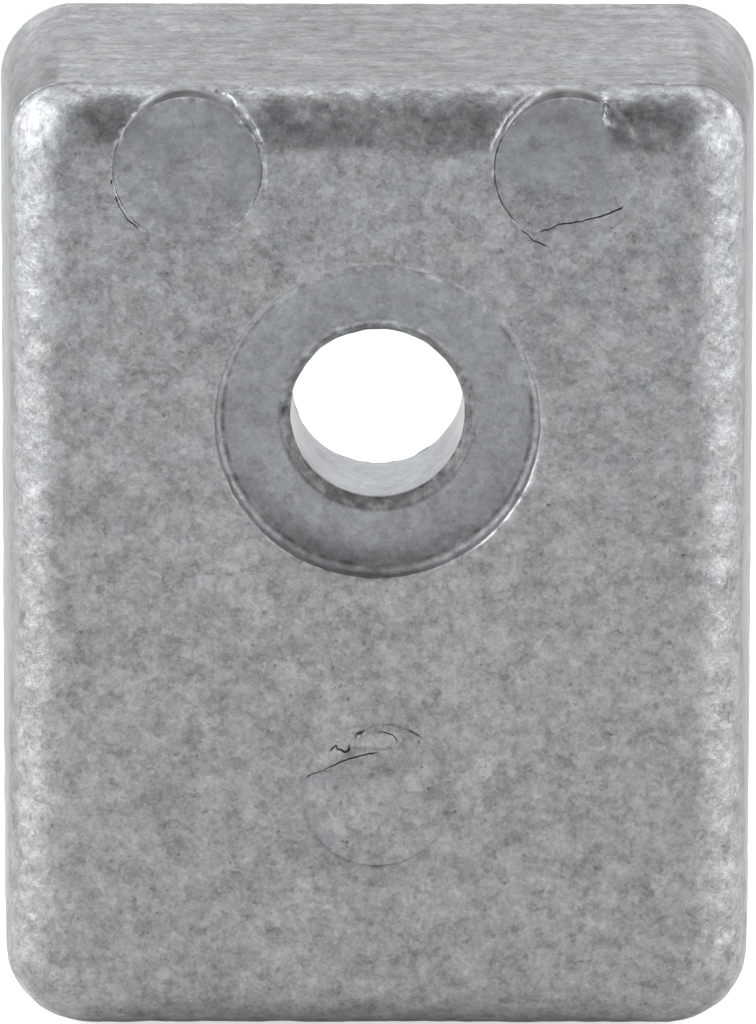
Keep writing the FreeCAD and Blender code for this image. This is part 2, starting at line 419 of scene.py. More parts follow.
def add_camera():
    """The photo's camera: it looks slightly down on the exposed face from straight in front."""
    face_centre = Vector((0.0, cad_box[0][1], 0.0))
    right = Vector((math.cos(YAW), math.sin(YAW), 0.0))
    level = Vector((-math.sin(YAW), math.cos(YAW), 0.0))
    sight = level * math.cos(PITCH) - Vector((0, 0, 1)) * math.sin(PITCH)
    upward = level * math.sin(PITCH) + Vector((0, 0, 1)) * math.cos(PITCH)
    place = face_centre - sight * SIGHT_DISTANCE
    focal_px = PIXELS_PER_MM * SIGHT_DISTANCE / MM
    # the photo's centre lies a little away from the bolt hole: turn towards it, without shift
    off_x = (PHOTO_WIDTH / 2 - SEAT_CENTRE_PX[0]) / focal_px
    off_y = -(PHOTO_HEIGHT / 2 - SEAT_CENTRE_PX[1]) / focal_px
    rolled_right = right * math.cos(ROLL) - upward * math.sin(ROLL)
    rolled_up = right * math.sin(ROLL) + upward * math.cos(ROLL)
    aim = (sight + rolled_right * off_x + rolled_up * off_y).normalized()
    side = aim.cross(rolled_up).normalized()
    top = side.cross(aim).normalized()
    data = bpy.data.cameras.new("camera")
    data.sensor_width = SENSOR_MM
    data.lens = focal_px * SENSOR_MM / PHOTO_HEIGHT
    data.clip_end = FAR_CLIP
    camera = bpy.data.objects.new("camera", data)
    turned = Matrix((side, top, -aim)).transposed().to_4x4()
    camera.matrix_world = Matrix.Translation(place) @ turned
    scene.collection.objects.link(camera)
    scene.camera = camera


class Noise:
    """Smooth seeded noise over space: random values on a lattice, blended between."""

    LATTICE = 256

    def __init__(self, seed):
        draw = np.random.default_rng(seed)
        self.order = draw.permutation(self.LATTICE)
        self.values = draw.uniform(-1, 1, self.LATTICE)

    def at(self, place, size):
        """Values from -1 to 1 that change over about this size."""
        scaled = np.asarray(place, float) / size
        cell = np.floor(scaled).astype(int)
        part = scaled - cell
        part = part * part * (3 - 2 * part)
        total = 0
        for corner in range(8):
            step = np.array([corner & 1, corner >> 1 & 1, corner >> 2 & 1])
            hashed = np.zeros(len(cell), int)
            for axis in range(3):
                hashed = self.order[(hashed + cell[:, axis] + step[axis]) % self.LATTICE]
            weight = np.prod(np.where(step, part, 1 - part), axis=1)
            total = total + weight * self.values[hashed]
        return total

    def layers(self, place, table):
        """Sum of several noises, each given by its size, a shift and a strength."""
        return sum(strength * self.at(place + shift, size) for size, shift, strength in table)


rough = Noise(11)
torn = Noise(12)


def lengths(vectors):
    """Length of each row."""
    return np.linalg.norm(vectors, axis=1)


def between(values, low, high):
    """0 below low, 1 above high."""
    return np.clip((values - low) / (high - low), 0, 1)


def circle(centre, radius, count):
    """Evenly spread points of a circle, from its right side anticlockwise."""
    angles = np.arange(count) * 2 * math.pi / count
    return np.asarray(centre) + radius * np.column_stack([np.cos(angles), np.sin(angles)])


def wrapped(count):
    """The angles of such points, from -180 to 180 degrees but in radians."""
    angles = np.arange(count) * 2 * math.pi / count
    return (angles + math.pi) % (2 * math.pi) - math.pi


def by_angle(table, angles):
    """Values of a table by degrees, for angles in radians."""
    stops, values = np.array(table).T
    return np.interp(np.degrees(angles), stops, values)


def at_level(flat, level):
    """Points of the sheet with a third coordinate, to look up noise."""
    return np.column_stack([flat, np.full(len(flat), level)])


def along(points, step):
    """Points at an even step along a line of given points, the direction to its left, and lengths."""
    points = np.asarray(points, float)
    reached = np.concatenate([[0], np.cumsum(lengths(np.diff(points, axis=0)))])
    count = max(int(reached[-1] / step), 3)
    stops = np.linspace(0, reached[-1], count)
    line = np.column_stack([np.interp(stops, reached, points[:, axis]) for axis in (0, 1)])
    ahead = np.gradient(line, axis=0)
    ahead /= np.maximum(lengths(ahead), TINY)[:, None]
    return line, np.column_stack([-ahead[:, 1], ahead[:, 0]]), stops


def plain_block(flat):
    """Place and outward direction on the block without its marks, for points of the flattened sheet."""
    flat = np.atleast_2d(np.asarray(flat, float))
    anchor = np.clip(flat, corner_low, corner_high)
    away = flat - anchor
    reach = lengths(away)
    heading = away / np.maximum(reach, TINY)[:, None]
    turn = np.clip(reach - FACE_CORNER, 0, ROUND_ARC) / FACE_ROUND
    down_wall = np.clip(reach - FACE_CORNER - ROUND_ARC, 0, None)
    spread = np.minimum(reach, FACE_CORNER) + FACE_ROUND * np.sin(turn) + down_wall * math.sin(LEAN)
    depth = FACE_ROUND * (1 - np.cos(turn)) + down_wall * math.cos(LEAN)
    at_face = np.sin(turn) * np.clip(1 - down_wall / (THICKNESS - FACE_ROUND), 0, 1)
    at_back = np.sin(turn) - at_face
    across, up = ((2 * anchor - corner_low - corner_high) / (corner_high - corner_low)).T
    # the corner cut stretches only the ends of the top side, clear of the marks
    across = np.sign(across) * between(np.abs(across), STRETCH_START, 1)
    cut = TOP_CORNER_CUT * at_face * np.clip(up, 0, 1) + BACK_CORNER_CUT * at_back
    plan = anchor + heading * (spread - cut)[:, None] + np.column_stack([across, up]) * cut[:, None]
    near_foot = np.clip((FLARE_START - anchor[:, 1]) / FLARE_LENGTH, 0, 1)
    plan[:, 0] += FOOT_FLARE * at_face * heading[:, 0] * near_foot
    plan[:, 1] += FOOT_RISE * at_face * np.clip(-heading[:, 1], 0, 1)
    place = np.column_stack([plan[:, 0], depth - THICKNESS, plan[:, 1]])
    outward = np.column_stack([heading[:, 0] * np.sin(turn), -np.cos(turn), heading[:, 1] * np.sin(turn)])
    return place, outward


def unrolled(plan):
    """Where points of the face's plan lie on the flattened sheet, away from the stretched corners."""
    anchor = np.clip(plan, corner_low, corner_high)
    away = plan - anchor
    reach = lengths(away)
    beyond = np.clip(reach - FACE_CORNER, 0, FACE_ROUND * math.cos(LEAN))
    wanted = np.minimum(reach, FACE_CORNER) + FACE_ROUND * np.arcsin(beyond / FACE_ROUND)
    return anchor + away * (wanted / np.maximum(reach, TINY))[:, None]


def fade_width(height):
    """How wide the change from the right mark's flat end to the round is: a step at the top, soft below."""
    return FADE_WIDTH + FADE_SPREAD * np.clip((FADE_TOP - height) / FADE_DROP, 0, 1)


def fade_of_mark(plan, centre):
    """1 where an upper mark's pin left no trace, as at the right of the right one, and 0 on its disc."""
    if centre[0] < 0:
        return np.zeros(len(plan))
    return np.clip((plan[:, 0] - FADE_START) / fade_width(plan[:, 1]), 0, 1)


def disc_place(plan, centre):
    """Place on the disc of an upper mark: sunk at its top, level with the face at its foot."""
    height = (plan[:, 1] - centre[1]) / MARK_RADIUS
    place = np.column_stack([plan[:, 0], MARK_DEPTH * (0.5 + 0.5 * height) - THICKNESS, plan[:, 1]])
    gone = fade_of_mark(plan, centre)[:, None]
    return place + (plain_block(unrolled(plan))[0] - place) * gone


def disc_pressed(plan, centre):
    """How smoothly the pin pressed the skin of its mark, less and less towards the foot."""
    height = (plan[:, 1] - centre[1]) / MARK_RADIUS
    patchy = torn.at(at_level(plan, PRESS_LEVEL), PRESS_PATCH_SIZE)
    pressed = np.clip(PRESS_MIDDLE + PRESS_RISE * height + PRESS_CHANGE * patchy, 0, 1)
    return pressed * (1 - fade_of_mark(plan, centre))


def skin(flat):
    """Place and outward direction for points of the flattened sheet, with the discs of the marks."""
    flat = np.atleast_2d(np.asarray(flat, float))
    place, outward = plain_block(flat)
    for centre in UPPER_MARKS:
        inside = lengths(flat - centre) < MARK_RADIUS - MARK_BAND
        if inside.any():
            place[inside] = disc_place(flat[inside], np.array(centre))
            outward[inside] = (0, -1, 0)
    lower = lengths(flat - LOWER_MARK) < MARK_RADIUS
    place[lower, 1] += LOWER_DEPTH
    return place, outward


def stations():
    """Anchor and heading of each station round the block, anticlockwise from the right side's foot."""
    corners = (
        (corner_high[0], corner_high[1]),
        (corner_low[0], corner_high[1]),
        (corner_low[0], corner_low[1]),
        (corner_high[0], corner_low[1]),
    )
    anchors = []
    headings = []
    for quarter, corner in enumerate(corners):
        before = np.array(corners[quarter - 1])
        count = SIDE_STATIONS if quarter % 2 == 0 else TOP_STATIONS
        side = quarter * math.pi / 2
        for i in range(count):
            anchors.append(before + (np.array(corner) - before) * i / count)
            headings.append((math.cos(side), math.sin(side)))
        for i in range(CORNER_STATIONS):
            angle = side + math.pi / 2 * i / CORNER_STATIONS
            anchors.append(corner)
            headings.append((math.cos(angle), math.sin(angle)))
    return np.array(anchors), np.array(headings)


def corner_share(row):
    """Which stations a row of the round uses: fewer in the corners, where the rows are short."""
    step = 4 if row < ROUND_ROWS / 3 else 2 if row < ROUND_ROWS * 2 / 3 else 1
    keep = []
    at = 0
    for quarter in range(4):
        count = SIDE_STATIONS if quarter % 2 == 0 else TOP_STATIONS
        keep.extend(range(at, at + count))
        keep.extend(range(at + count, at + count + CORNER_STATIONS, step))
        at += count + CORNER_STATIONS
    return np.array(keep)


def outside_marks(flat, margin=0.0):
    """Whether points of the flattened sheet lie outside the upper marks."""
    plan = plain_block(flat)[0][:, (0, 2)]
    clear = np.ones(len(flat), bool)
    for centre in UPPER_MARKS:
        clear &= lengths(plan - centre) > MARK_RADIUS + margin
    return clear


def clear_of_bands(flat):
    """Whether points keep clear of the bands round the upper marks, the lower crease and the seat's lip."""
    outside = outside_marks(flat, BAND_CLEARANCE)
    for centre in UPPER_MARKS:
        outside |= lengths(flat - centre) < MARK_RADIUS - MARK_BAND - CLEARANCE
    lower = np.abs(lengths(flat - LOWER_MARK) - MARK_RADIUS) > CREASE_CLEARANCE
    seat = lengths(flat) > SEAT_RADIUS + LIP_WIDTH + CLEARANCE
    return outside & lower & seat


def loop_links(start, count):
    """Links that join points with consecutive numbers to a closed loop."""
    return [(start + i, start + (i + 1) % count) for i in range(count)]


class Mesh:
    """Points and faces of the skin while it is put together, in millimetres."""

    def __init__(self):
        self.places = []
        self.traits = []
        self.count = 0
        self.faces = []

    def add(self, places, pressed=0.0, tone=1.0, dull=0.0):
        """Takes points and returns their numbers. Pressed skin is smooth, dull skin extra rough."""
        places = np.atleast_2d(places)
        self.places.append(places)
        traits = [np.broadcast_to(np.asarray(trait, float), len(places)) for trait in (pressed, tone, dull)]
        self.traits.append(np.column_stack(traits))
        numbers = np.arange(self.count, self.count + len(places))
        self.count += len(places)
        return numbers

    def add_strip(self, near, far, inward=False):
        """Faces between two closed loops; the second may have half as many points."""
        count = len(near)
        for i in range(len(far)):
            if len(far) == count:
                a, b = near[i], near[(i + 1) % count]
                c, d = far[i], far[(i + 1) % count]
                made = [(a, c, d, b)]
            else:
                a, b, e = near[2 * i], near[2 * i + 1], near[(2 * i + 2) % count]
                c, d = far[i], far[(i + 1) % len(far)]
                made = [(a, c, b), (c, d, b), (b, d, e)]
            if inward:
                made = [face[::-1] for face in made]
            self.faces.extend(made)

    def add_triangles(self, flat, numbers, links, hole):
        """Triangles over flat points, except inside the loop of the hole."""
        found = delaunay_2d_cdt([Vector(point) for point in flat], links, [], 0, WELD)
        vertices, triangles, origins = found[0], found[2], found[3]
        if len(vertices) != len(flat):
            print("triangulation changed the point count by", len(vertices) - len(flat))
        source = [numbers[origin[0]] if origin else -1 for origin in origins]
        rim = set(hole.tolist())
        for triangle in triangles:
            face = tuple(source[corner] for corner in triangle)
            if not all(corner in rim for corner in face):
                self.faces.append(face)


class Sheet:
    """The flattened sheet of the face: its points, and the lines that its triangles keep to."""

    def __init__(self, mesh):
        self.mesh = mesh
        self.flat_parts = []
        self.number_parts = []
        self.links = []

    def add(self, flat, places, pressed=0.0, tone=1.0, dull=0.0, closed=False):
        """Takes points by their spot on the sheet and their place, and returns their numbers."""
        numbers = self.mesh.add(places, pressed, tone, dull)
        start = sum(len(part) for part in self.flat_parts)
        self.flat_parts.append(np.atleast_2d(flat))
        self.number_parts.append(numbers)
        if closed:
            self.links.extend(loop_links(start, len(numbers)))
        return numbers

    def fill(self, flat, gap, pressed=None):
        """Adds the points that lie further than this gap from all points placed before."""
        if pressed is None:
            free = outside_marks(flat) & clear_of_bands(flat)
            flat = flat[free]
            pressed = np.zeros(len(flat))
        placed = np.vstack(self.flat_parts)
        tree = KDTree(len(placed))
        for i, (x, z) in enumerate(placed):
            tree.insert((x, z, 0), i)
        tree.balance()
        far = np.array([tree.find((x, z, 0))[2] > gap for x, z in flat])
        self.add(flat[far], skin(flat[far])[0], pressed[far])


def add_seat_lip(sheet):
    """The lip round the washer seat, with its torn burr. Returns its loop."""
    burr = by_angle(SEAT_BURR, wrapped(SEAT_STATIONS))
    flat = circle((0, 0), SEAT_RADIUS + LIP_WIDTH, SEAT_STATIONS)
    places = plain_block(flat)[0]
    coarse, fine = (torn.at(places, size) for size in LIP_RAGGED_SIZES)
    ragged = coarse + LIP_FINE_SHARE * fine
    places[:, 1] -= burr * (LIP_HEIGHT + LIP_RAGGED * ragged)
    places[:, (0, 2)] *= (1 + LIP_SWAY * burr * ragged)[:, None]
    # a painted highlight on the burr
    return sheet.add(flat, places, 0.0, 1 + BURR_LIGHT * burr, LIP_DULL, closed=True)


def add_mark_edge(sheet, centre, flash, gap):
    """The edge of an upper mark: a gap above the disc with painted shade, flash beside it with a painted
    highlight, nothing at the foot.
    """
    angles = wrapped(MARK_STATIONS)
    inner = circle(centre, MARK_RADIUS - MARK_BAND, MARK_STATIONS)
    outer = unrolled(circle(centre, MARK_RADIUS, MARK_STATIONS))
    inner_place = disc_place(inner, centre)
    outer_place = plain_block(outer)[0]
    gone = fade_of_mark(inner, centre)
    ragged = torn.at(inner_place, MARK_RAGGED_SIZE)
    raised = by_angle(flash, angles) * (1 + FLASH_RAGGED * ragged)
    gloom = by_angle(gap, angles) * (1 + GLOOM_RAGGED * ragged) * (1 - gone)
    smooth = disc_pressed(inner, centre)
    for row in range(MARK_ROWS + 1):
        part = row / MARK_ROWS
        place = inner_place + (outer_place - inner_place) * part
        lip = max(1 - abs(row - FLASH_ROW) / FLASH_ROW, 0)
        place[:, 1] -= raised * lip
        place[:, 1] += GLOOM_DEPTH * gloom * math.sin(math.pi * part)
        # painted shade in the gap, turning to painted light on the outer rows, and a painted highlight on
        # the flash
        shaded = gloom * np.interp(row, *GLOOM_ROWS)
        tone = 1 + FLASH_LIGHT * raised * lip - shaded
        flat = inner + (outer - inner) * part
        sheet.add(flat, place, smooth * (1 - part), tone, MARK_EDGE_DULL, row in (0, MARK_ROWS))


def add_lower_crease(sheet):
    """The faint crease round the lower mark, where the face steps down into it."""
    rim = plain_block(circle(LOWER_MARK, MARK_RADIUS, MARK_STATIONS))[0]
    strength = np.clip(CREASE_MIDDLE + torn.at(rim, CREASE_SIZE), 0, CREASE_MOST)
    crease = by_angle(LOWER_CREASE, wrapped(MARK_STATIONS)) * strength
    rings = ((CREASE_REACH, 0.0, 0.0), (0.0, LOWER_DEPTH, 1.0), (-CREASE_REACH, LOWER_DEPTH, 0.0))
    for out, depth, share in rings:
        ring = circle(LOWER_MARK, MARK_RADIUS + out, MARK_STATIONS)
        place = plain_block(ring)[0]
        place[:, 1] += depth + CREASE_DEPTH * crease * share
        # painted shade in the crease
        tone = np.maximum(1 - CREASE_SHADE * crease * share, GROOVE_SHADE)
        sheet.add(ring, place, 0.0, tone, 1.0, closed=True)


def add_grooves(sheet):
    """Cracks, creases and flash: three lines of points each, the middle one lowered or raised."""
    for number, (width, depth, points) in enumerate(GROOVES):
        line, left, stops = along(points, GROOVE_STEP)
        waver = torn.at(at_level(line, number), WAVER_SIZE)
        line = line + left * (waver * width * WAVER)[:, None]
        ends = np.clip(np.minimum(stops, stops[-1] - stops) / TAPER_LENGTH, TAPER_LEAST, 1)
        # painted shade in cracks, and a faint painted highlight on raised flash
        painted_shade_and_highlight = 1 - (1 - GROOVE_SHADE) * min(depth / FULL_GROOVE, 1) if depth > 0 else FLASH_HIGHLIGHT
        uneven = torn.at(at_level(line, number), UNEVEN_SIZE)
        strength = ends * np.clip(STRENGTH + UNEVEN * uneven, STRENGTH_LEAST, 1)
        for offset, share in ((-0.5, 0.0), (0.0, 1.0), (0.5, 0.0)):
            flat = line + left * (offset * width * (TAPER_WIDTH + (1 - TAPER_WIDTH) * ends))[:, None]
            clear = clear_of_bands(flat)
            flat = flat[clear]
            place, outward = skin(flat)
            place = place - outward * (depth * share * strength[clear])[:, None]
            sheet.add(flat, place, 0.0, 1 + (painted_shade_and_highlight - 1) * share * strength[clear], GROOVE_DULL)


def add_pits(sheet):
    """Small pits of the face, darkened in the middle with painted shade."""
    for x, z, radius in PITS:
        ring = circle((x, z), radius, PIT_SIDES)
        sheet.add(ring, skin(ring)[0])
        middle = np.array([[x, z]])
        place, outward = skin(middle)
        # painted shade at the pit's middle
        sheet.add(middle, place - outward * radius * PIT_DEPTH, tone=GROOVE_SHADE)


def jittered_grid(across, up, draw, jitter, step):
    """Points of a grid, each moved by a random share of its step."""
    grid = np.stack(np.meshgrid(across, up), axis=-1).reshape(-1, 2)
    return grid + draw.uniform(-jitter, jitter, grid.shape) * step


def fill_face(sheet, anchors, headings):
    """Rows of the face round, and jittered points on the flat and on the discs, where nothing else lies."""
    for row in range(ROUND_ROWS):
        keep = corner_share(row)
        flat = anchors[keep] + headings[keep] * (FACE_CORNER + ROUND_ARC * row / ROUND_ROWS)
        sheet.fill(flat, FACE_STEP * ROUND_GAP)
    draw = np.random.default_rng(5)
    across = np.arange(corner_low[0] - FACE_CORNER, corner_high[0] + FACE_CORNER, FACE_STEP)
    up = np.arange(corner_low[1] - FACE_CORNER, corner_high[1] + FACE_CORNER, FACE_STEP)
    grid = jittered_grid(across, up, draw, FACE_JITTER, FACE_STEP)
    outside_seat = lengths(grid) > SEAT_RADIUS + LIP_WIDTH
    from_core = lengths(grid - np.clip(grid, corner_low, corner_high))
    on_flat = from_core < FACE_CORNER - CLEARANCE
    sheet.fill(grid[outside_seat & on_flat & outside_marks(grid)], FACE_STEP * FLAT_GAP)
    # the two edges of the slope where the right upper mark ends
    faded = UPPER_MARKS[1]
    heights = np.arange(FADE_TOP - FADE_DROP, faded[1] + MARK_RADIUS, GROOVE_STEP)
    for share in (0, 1):
        edge = np.column_stack([FADE_START + share * fade_width(heights), heights])
        edge = edge[lengths(edge - faded) < MARK_RADIUS - MARK_BAND - CLEARANCE]
        sheet.add(edge, skin(edge)[0], disc_pressed(edge, np.array(faded)))
    for centre in UPPER_MARKS:
        reach = np.arange(-MARK_RADIUS, MARK_RADIUS, FACE_STEP)
        disc = jittered_grid(reach, reach, draw, FACE_JITTER, FACE_STEP)
        disc = centre + disc[lengths(disc) < MARK_RADIUS - MARK_BAND - DISC_CLEARANCE]
        sheet.fill(disc, FACE_STEP * FLAT_GAP, disc_pressed(disc, centre))


def make_face(mesh):
    """The exposed face and its round. Returns the loops at the washer seat's lip and at the walls."""
    sheet = Sheet(mesh)
    anchors, headings = stations()
    outer_flat = anchors + headings * (FACE_CORNER + ROUND_ARC)
    outer = sheet.add(outer_flat, plain_block(outer_flat)[0], closed=True)
    lip = add_seat_lip(sheet)
    for centre, flash, gap in zip(UPPER_MARKS, (LEFT_FLASH, RIGHT_FLASH), (LEFT_GAP, RIGHT_GAP)):
        add_mark_edge(sheet, centre, flash, gap)
    add_lower_crease(sheet)
    add_grooves(sheet)
    add_pits(sheet)
    fill_face(sheet, anchors, headings)
    mesh.add_triangles(np.vstack(sheet.flat_parts), np.concatenate(sheet.number_parts), sheet.links, lip)
    return lip, outer


def hole_profile():
    """Radius, depth, skin and part of each ring from the washer seat's wall to the back."""
    raised = SEAT_DEPTH - SEAT_DISH
    corner = SEAT_RADIUS - SEAT_CORNER
    mouth = BORE_RADIUS + BORE_CHAMFER
    land = SEAT_DEPTH + BOLT_LAND
    profile = [(SEAT_RADIUS + LIP_RING_OUT, 0.0, SEAT_WALL_SKIN, "lip")]
    for depth in SEAT_WALL_DEPTHS:
        profile.append((SEAT_RADIUS, depth, SEAT_WALL_SKIN, "seat wall"))
    for i in range(ARC_ROWS + 1):
        turn = math.pi / 2 * i / ARC_ROWS
        part = "seat wall" if i < ARC_ROWS else "mouth"
        depth = raised - SEAT_CORNER + SEAT_CORNER * math.sin(turn)
        profile.append((corner + SEAT_CORNER * math.cos(turn), depth, SEAT_WALL_SKIN, part))
    for radius in np.linspace(corner, mouth, SEAT_FLOOR_ROWS)[1:-1]:
        rise = between(radius, SEAT_DISH_START, corner)
        profile.append((radius, SEAT_DEPTH - SEAT_DISH * rise * rise, SEAT_FLOOR_SKIN, "plain"))
    profile.append((mouth, SEAT_DEPTH, TORN_SKIN, "mouth"))
    for share in CHAMFER_SHARES:
        profile.append((mouth - BORE_CHAMFER * share, SEAT_DEPTH + BORE_CHAMFER * share, TORN_SKIN, "mouth"))
    for depth in np.linspace(SEAT_DEPTH + BORE_CHAMFER, land - RIM_START, BORE_ROWS)[1:]:
        profile.append((BORE_RADIUS, depth, BORE_SKIN, "plain"))
    profile.append((BORE_RADIUS, land - RIM_EDGE, TORN_SKIN, "rim"))
    profile.append((BORE_RADIUS + RIM_OUT, land, TORN_SKIN, "rim"))
    inner = RECESS_RADIUS - RECESS_CORNER
    for radius in np.linspace(BORE_RADIUS + RIM_OUT, inner, RECESS_FLOOR_ROWS)[1:]:
        profile.append((radius, land, RECESS_FLOOR_SKIN, "plain"))
    for i in range(1, ARC_ROWS + 1):
        turn = math.pi / 2 * i / ARC_ROWS
        depth = land + RECESS_CORNER * (1 - math.cos(turn))
        profile.append((inner + RECESS_CORNER * math.sin(turn), depth, RECESS_FLOOR_SKIN, "plain"))
    for depth in np.linspace(land + RECESS_CORNER, THICKNESS - BACK_EDGE, RECESS_WALL_ROWS)[1:]:
        profile.append((RECESS_RADIUS, depth, RECESS_WALL_SKIN, "plain"))
    profile.append((RECESS_RADIUS + BACK_EDGE, THICKNESS, RECESS_WALL_SKIN, "plain"))
    return profile


def make_hole(mesh, lip):
    """Washer seat, bolt bore and back recess. Returns the loop where the recess meets the back."""
    before = lip
    count = SEAT_STATIONS
    for radius, depth, (pressed, dull), part in hole_profile():
        if radius < BORE_RADIUS + BORE_CHAMFER:
            count = SEAT_STATIONS // 2
        ring = circle((0, 0), radius, count)
        angles = wrapped(count)
        places = np.column_stack([ring[:, 0], np.full(count, depth - THICKNESS), ring[:, 1]])
        tone = 1.0
        # painted light: a highlight on the lip's burr, light and shade by angle on the seat's wall and the
        # bore's mouth, shade round the far rim
        if part == "lip":
            burr = by_angle(SEAT_BURR, angles)
            places[:, 1] += LIP_RING_SINK * burr
            tone = by_angle(SEAT_WALL_PAINTED_LIGHT, angles) + BURR_LIGHT * burr
        elif part == "seat wall":
            tone = by_angle(SEAT_WALL_PAINTED_LIGHT, angles)
        elif part == "mouth":
            tone = by_angle(MOUTH_PAINTED_LIGHT, angles) * (1 + MOUTH_UNEVEN * torn.at(places, MOUTH_SIZE))
        elif part == "rim":
            tone = BORE_RIM_SHADE
            places[:, (0, 2)] *= (1 + RIM_UNEVEN * torn.at(places, RIM_SIZE))[:, None]
        now = mesh.add(places, pressed, tone, dull)
        mesh.add_strip(before, now, inward=True)
        before = now
    return before


def make_walls(mesh, outer):
    """The four walls, from the face round to the back. Returns the loop at the back."""
    anchors, headings = stations()
    wall_length = (THICKNESS - FACE_ROUND * (1 - math.sin(LEAN))) / math.cos(LEAN)
    before = outer
    for row in range(1, WALL_ROWS + 1):
        keep = slice(None) if row < FULL_WALL_ROWS else slice(None, None, 2)
        end = wall_length - BACK_EDGE
        reach = FACE_CORNER + ROUND_ARC + end * row / WALL_ROWS
        flat = anchors[keep] + headings[keep] * reach
        now = mesh.add(plain_block(flat)[0])
        mesh.add_strip(before, now)
        before = now
    flat = anchors[::2] + headings[::2] * (FACE_CORNER + ROUND_ARC + wall_length)
    places = plain_block(flat)[0]
    places[:, (0, 2)] -= headings[::2] * BACK_EDGE
    places[:, 1] = 0
    now = mesh.add(places)
    mesh.add_strip(before, now)
    return now


def make_back(mesh, rim, recess):
    """The flat mounting face between the walls and the recess."""
    places = np.vstack(mesh.places)
    flat_parts = [places[rim][:, (0, 2)], places[recess][:, (0, 2)]]
    numbers = [rim, recess]
    links = loop_links(0, len(rim)) + loop_links(len(rim), len(recess))
    across = np.arange(-HALF_WIDTH, HALF_WIDTH, BACK_STEP)
    up = np.arange(BOTTOM, TOP, BACK_STEP)
    grid = jittered_grid(across, up, np.random.default_rng(6), BACK_JITTER, BACK_STEP)
    inside = lengths(grid) > RECESS_RADIUS + RECESS_CLEARANCE
    reach = lengths(grid - np.clip(grid, corner_low, corner_high))
    inside &= reach < FACE_CORNER + FACE_ROUND
    grid = grid[inside]
    flat_parts.append(grid)
    numbers.append(mesh.add(np.column_stack([grid[:, 0], np.zeros(len(grid)), grid[:, 1]])))
    first = len(mesh.faces)
    mesh.add_triangles(np.vstack(flat_parts), np.concatenate(numbers), links, recess)
    mesh.faces[first:] = [face[::-1] for face in mesh.faces[first:]]


def outward_directions(places, faces):
    """Area-weighted outward direction of each point."""
    total = np.zeros_like(places)
    for size in (3, 4):
        chosen = np.array([face for face in faces if len(face) == size])
        if len(chosen) == 0:
            continue
        a, b, c = places[chosen[:, 0]], places[chosen[:, 1]], places[chosen[:, 2]]
        normal = np.cross(b - a, c - a)
        if size == 4:
            d = places[chosen[:, 3]]
            normal = np.cross(c - a, d - b)
        for column in range(size):
            np.add.at(total, chosen[:, column], normal)
    return total / np.maximum(lengths(total), TINY_AREA)[:, None]


def cast_relief(places, pressed, dull):
    """Height of the cast skin's grain in millimetres: lumps, flakes and fine grain, and torn skin."""
    relief = rough.layers(places, RELIEF)
    scars = torn.layers(places, SCARS)
    return relief * (1 - PRESSED_CALM * pressed) + SCAR_HEIGHT * dull * scars


def ground_share(places, outward):
    """How ground each point is, as only the top wall is."""
    return between(outward[:, 2], *GROUND_FACING) * (places[:, 2] > TOP - ZONE_MARGIN)


def tone_with_painted_light(places, outward, ground):
    """How light each point is drawn, against the plain face: the metal's tone with painted light and shade
    on walls, top round, bore, patches and foot.
    """
    from_axis = lengths(places[:, (0, 2)])
    # painted shade on the walls near the face, fading out towards the back
    wall = between(-np.abs(outward[:, 1]), *WALL_FACING) * (from_axis > RECESS_RADIUS + ZONE_MARGIN)
    towards_back = between(places[:, 1], -THICKNESS + FACE_ROUND, 0)
    wall_shade_factor = WALL_PAINTED_SHADE + (WALL_BACK_TONE - WALL_PAINTED_SHADE) * towards_back
    tone = 1 - (1 - wall_shade_factor) * wall
    tone = tone + (GROUND_TONE + GROUND_END_TONE * (places[:, 0] / HALF_WIDTH) ** 2 - tone) * ground
    # painted light and shade on the top round, by how far it faces up
    tone = tone * np.interp(outward[:, 2], *TOP_ROUND_PAINTED_LIGHT) * (1 - ground) + tone * ground
    band = between(outward[:, 2], *BAND_FACING) * (1 - ground) * (outward[:, 1] < BAND_FRONT)
    tone = tone * (1 + BAND_CONTRAST * band * torn.layers(places, BAND_FLAKES))
    # painted light that lightens the bore's wall
    bore = (from_axis < BORE_RADIUS + BORE_MARGIN) & (places[:, 1] > -THICKNESS + SEAT_DEPTH)
    tone[bore] = BORE_PAINTED_LIGHT
    # patches: uneven tone of the skin, and painted highlights and shade at the top corners and the upper
    # marks' edges
    for x, z, half_width, half_height, change in PATCHES:
        away = np.hypot((places[:, 0] - x) / half_width, (places[:, 2] - z) / half_height)
        ragged = TONE_PATCH_RAGGED * torn.at(places, TONE_PATCH_SIZE)
        share = np.clip(TONE_PATCH_MIDDLE - away + ragged, 0, 1) * (outward[:, 1] < PATCH_FRONT)
        tone = tone * (1 + change * share)
    # painted contact shadow on the foot's round
    painted_foot_shadow = between(-outward[:, 2], *FOOT_FACING) * (places[:, 1] < -THICKNESS + FACE_ROUND + ZONE_MARGIN)
    return tone * (1 - FOOT_SHADE * painted_foot_shadow)


def with_patches(trait, patches, most, places, faces_front):
    """The trait with these soft-edged patches added to it, where the skin faces the front."""
    for x, z, half_width, half_height in patches:
        away = np.hypot((places[:, 0] - x) / half_width, (places[:, 2] - z) / half_height)
        share = np.clip(PATCH_MIDDLE - PATCH_FALL * away, 0, most) * faces_front
        trait = np.maximum(trait, share)
    return trait


